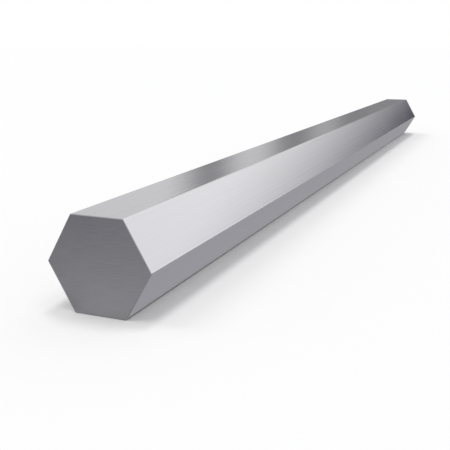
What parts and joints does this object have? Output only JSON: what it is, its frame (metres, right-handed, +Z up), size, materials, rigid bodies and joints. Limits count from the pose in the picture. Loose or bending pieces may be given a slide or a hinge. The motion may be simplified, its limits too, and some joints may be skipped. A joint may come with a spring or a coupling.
{
  "type": "hexagonal bar",
  "caption": "Hexagonal steel bar stock, cold drawn with small rounded corners and cut square at both ends, for turned fittings, spacers, standoffs and fasteners.",
  "frame": {"origin": "middle of the flat that the bar rests on", "axes": "+X along the bar, +Z up, +Y across the bar, towards a corner"},
  "size_m": [0.5, 0.0346, 0.03],
  "materials": {
    "bright_steel": "bright drawn, smooth, with fine lines along the bar and plain cut ends"
  },
  "bodies": {
    "root": {"hex_bar": "bright_steel"}
  },
  "joints": []
}
